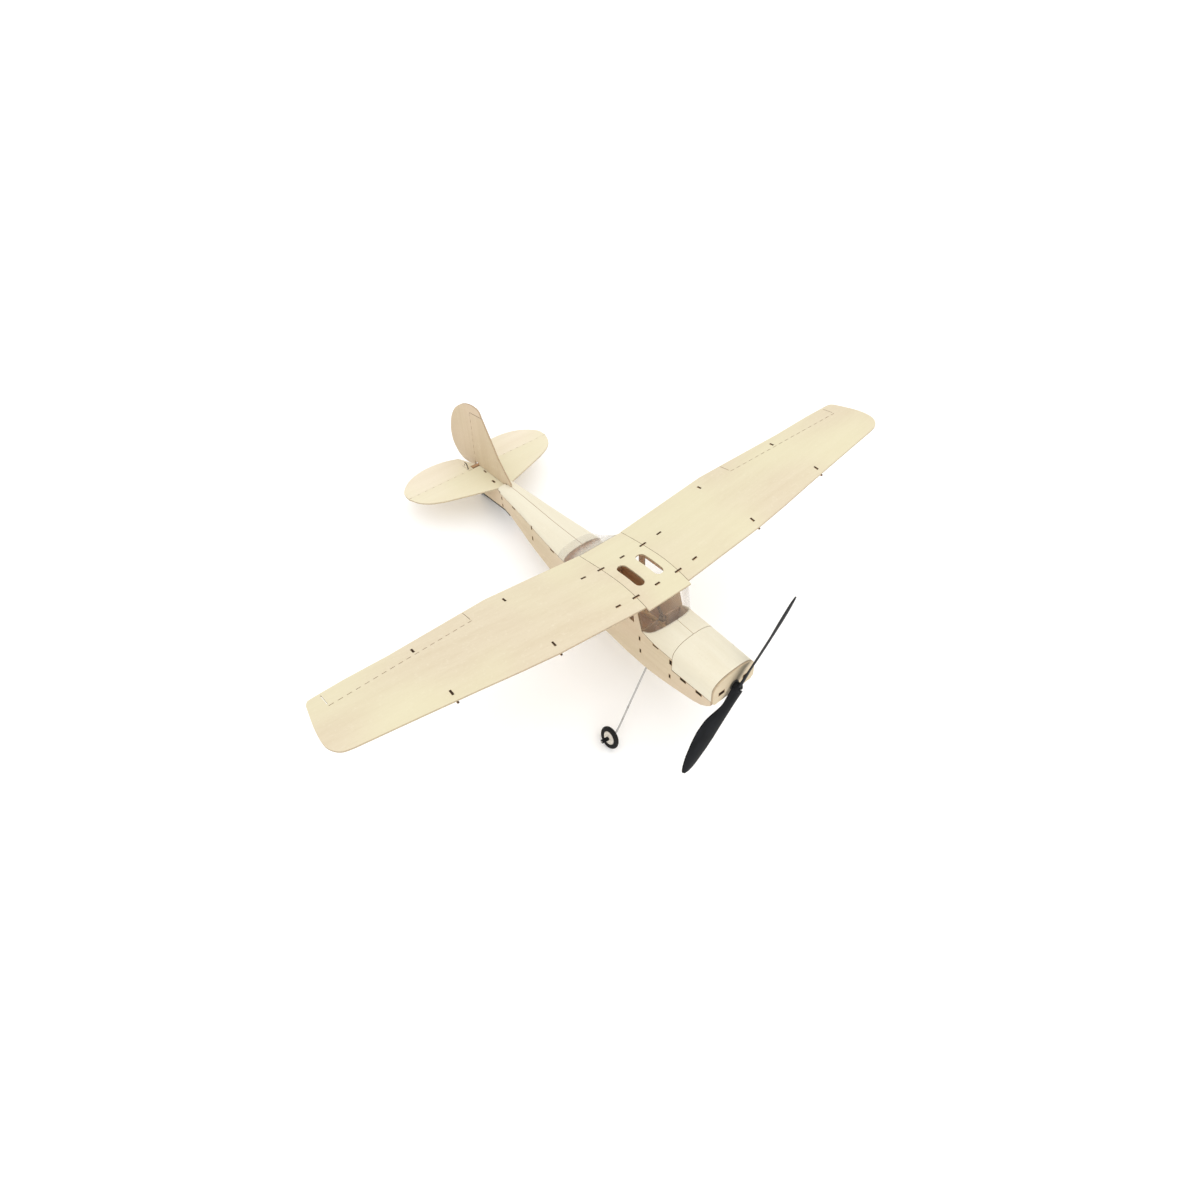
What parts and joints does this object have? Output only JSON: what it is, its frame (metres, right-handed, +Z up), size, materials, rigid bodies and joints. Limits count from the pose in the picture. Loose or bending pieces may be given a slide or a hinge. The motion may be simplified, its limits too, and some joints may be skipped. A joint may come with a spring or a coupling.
{
  "type": "rubber band plane",
  "caption": "Small high-wing cabin monoplane laser-cut from thin balsa sheet, with a rubber-driven propeller, a wire undercarriage and a hinged rudder and elevator.",
  "frame": {"origin": "centre of the bounding box in X and Y, on the surface that the two wheels and the tail skid stand on", "axes": "+X towards the pilot's left wing tip, +Y towards the tail, +Z up, with the plane sitting on its wheels and tail skid"},
  "size_m": [0.38, 0.281, 0.1068],
  "materials": {
    "balsa": "bare sanded balsa sheet, laser cut",
    "ply": "bare laser-cut sheet with burnt edges",
    "film": "clear flexible film",
    "carbon": "flat carbon strip",
    "propeller_plastic": "satin moulded plastic",
    "steel_wire": "drawn spring wire",
    "nylon": "dark moulded nylon",
    "brass": "turned",
    "rubber_strand": "lubricated flat rubber strip",
    "tyre": "black foam rubber",
    "rim": "pale moulded disc"
  },
  "bodies": {
    "airframe": {"wing_center_panel": "balsa", "wing_panel_left": "balsa", "wing_panel_right": "balsa", "fuselage_side_left": "balsa", "fuselage_side_right": "balsa", "fuselage_bottom": "balsa", "nose_hatch": "balsa", "cowl_deck_left": "balsa", "cowl_deck_right": "balsa", "rear_deck_left": "balsa", "rear_deck_right": "balsa", "nose_former": "balsa", "stabilizer": "balsa", "fin": "balsa", "dihedral_brace_front": "ply", "dihedral_brace_rear": "ply", "wing_rib_inner_left": "ply", "wing_rib_inner_right": "ply", "wing_rib_outer_left": "ply", "wing_rib_outer_right": "ply", "firewall_former": "ply", "cabin_front_former": "ply", "cabin_rear_former": "ply", "arch_former": "ply", "rear_former": "ply", "tail_former": "ply", "cabin_brace": "ply", "motor_peg": "ply", "gear_block": "ply", "windscreen": "film", "rear_window": "film", "side_window_left": "film", "side_window_right": "film", "tail_skid": "carbon", "wheel_retainer_left": "propeller_plastic", "wheel_retainer_right": "propeller_plastic", "gear_leg_left": "steel_wire", "gear_leg_right": "steel_wire", "nose_button": "nylon", "rubber_motor": "rubber_strand"},
    "propeller": {"propeller": "propeller_plastic", "prop_shaft": "steel_wire", "thrust_washer": "brass"},
    "rudder": {"rudder": "balsa"},
    "elevator": {"elevator_left": "balsa", "elevator_right": "balsa", "elevator_joiner": "ply", "elevator_horn": "ply"},
    "wheel_left": {"tyre_left": "tyre", "rim_left": "rim"},
    "wheel_right": {"tyre_right": "tyre", "rim_right": "rim"}
  },
  "joints": [
    {"name": "propeller_spin", "type": "hinge", "parent": "airframe", "child": "propeller", "pos_m": [0, -0.12849, 0.06467], "axis": [0, -0.9655, 0.2605], "continuous": true},
    {"name": "rudder_turn", "type": "hinge", "parent": "airframe", "child": "rudder", "pos_m": [0, 0.11464, 0.03795], "axis": [0, 0.1863, 0.9825], "range_deg": [-25, 25]},
    {"name": "elevator_turn", "type": "hinge", "parent": "airframe", "child": "elevator", "pos_m": [0, 0.10628, 0.01965], "axis": [1, 0, 0], "range_deg": [-25, 25]},
    {"name": "wheel_left_spin", "type": "hinge", "parent": "airframe", "child": "wheel_left", "pos_m": [0.0505, -0.09544, 0.00676], "axis": [0.9744, 0.0586, 0.2172], "continuous": true},
    {"name": "wheel_right_spin", "type": "hinge", "parent": "airframe", "child": "wheel_right", "pos_m": [-0.0505, -0.09544, 0.00676], "axis": [-0.9744, 0.0586, 0.2172], "continuous": true}
  ]
}
